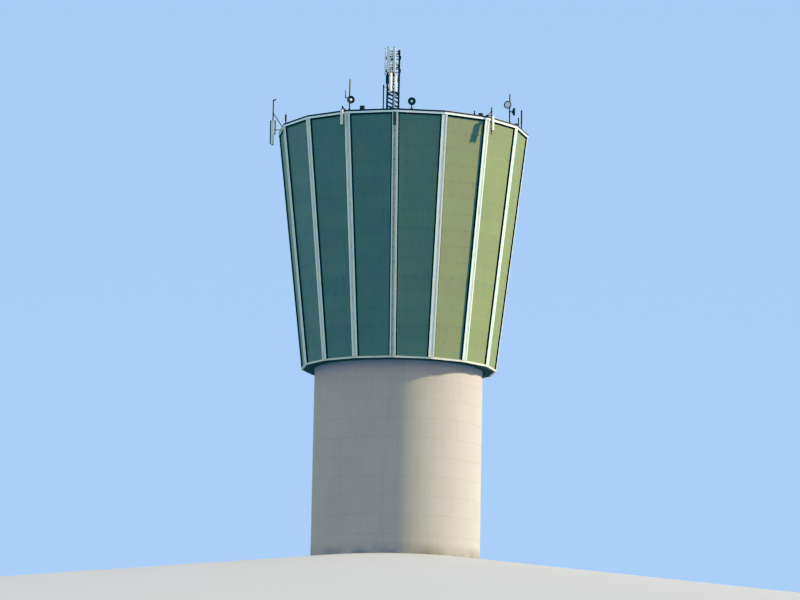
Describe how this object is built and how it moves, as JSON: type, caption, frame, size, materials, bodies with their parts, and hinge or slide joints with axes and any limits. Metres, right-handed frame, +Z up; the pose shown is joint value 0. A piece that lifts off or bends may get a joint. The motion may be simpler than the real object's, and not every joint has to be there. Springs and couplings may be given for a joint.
{
  "type": "water tower",
  "caption": "Concrete water tower: a many-sided green-clad tank with pale ribs, wider at the top, on a plain round shaft, with a lattice mast and radio antennas on its flat roof.",
  "frame": {"origin": "on the tower's axis at ground level, on the underside of the ground slab", "axes": "+Z up along the tower's axis; -Y towards the side that the picture shows, +X to the right of it"},
  "size_m": [19.2552, 18.6671, 38.3203],
  "materials": {
    "shaft_concrete": "smooth pale cast concrete with faint lift joints and rain streaks",
    "green_cladding": "green coil-coated sheet, satin, slightly faded, with fine level seams",
    "pale_rib": "pale green-white painted flashing, satin",
    "rim_white": "off-white painted sheet, satin",
    "drip_cream": "cream painted sheet, satin",
    "cap_dark": "dark green-grey painted capping, weathered",
    "soffit_green": "painted concrete, dull dark green-grey",
    "roof_felt": "mineral-faced roofing felt in laid strips, dull grey",
    "door_grey": "dark green-grey painted steel, satin",
    "galvanised_steel": "hot-dip galvanised steel, dull and weathered",
    "white_radome": "white glass-fibre radome, smooth satin",
    "duct_grey": "grey-green painted sheet, satin",
    "cabinet_grey": "dark grey powder-coated sheet"
  },
  "bodies": {
    "root": {"ground_slab": "shaft_concrete", "shaft_wall_front": "shaft_concrete", "shaft_wall_right": "shaft_concrete", "shaft_wall_back": "shaft_concrete", "shaft_wall_left": "shaft_concrete", "service_door": "door_grey", "tank_floor": "soffit_green", "drip_edge": "drip_cream", "tank_wall_1": "green_cladding", "tank_wall_2": "green_cladding", "tank_wall_3": "green_cladding", "tank_wall_4": "green_cladding", "tank_wall_5": "green_cladding", "tank_wall_6": "green_cladding", "tank_wall_7": "green_cladding", "tank_wall_8": "green_cladding", "rib_01": "pale_rib", "rib_02": "pale_rib", "rib_03": "pale_rib", "rib_04": "pale_rib", "rib_05": "pale_rib", "rib_06": "pale_rib", "rib_07": "pale_rib", "rib_08": "pale_rib", "rib_09": "pale_rib", "rib_10": "pale_rib", "rib_11": "pale_rib", "rib_12": "pale_rib", "rib_13": "pale_rib", "rib_14": "pale_rib", "rib_15": "pale_rib", "rib_16": "pale_rib", "feeder_duct": "duct_grey", "roof_slab": "roof_felt", "rim_fascia": "rim_white", "rim_cap": "cap_dark", "roof_hatch": "galvanised_steel", "mast": "galvanised_steel", "mast_tray": "galvanised_steel", "roof_tray": "galvanised_steel", "mast_panel_left": "white_radome", "mast_panel_right": "white_radome", "mast_box": "cabinet_grey", "mast_head": "white_radome", "mast_side_pole": "galvanised_steel", "centre_dish": "galvanised_steel", "left_dish_pole": "galvanised_steel", "left_hung_panel": "white_radome", "left_rod": "galvanised_steel", "left_cabinet": "cabinet_grey", "end_pole": "galvanised_steel", "right_cabinet": "cabinet_grey", "right_hung_panel": "white_radome", "right_stub": "galvanised_steel", "right_box": "cabinet_grey", "twin_dish_pole": "galvanised_steel", "right_rod_short": "galvanised_steel", "right_rod_tall": "galvanised_steel"}
  },
  "joints": []
}
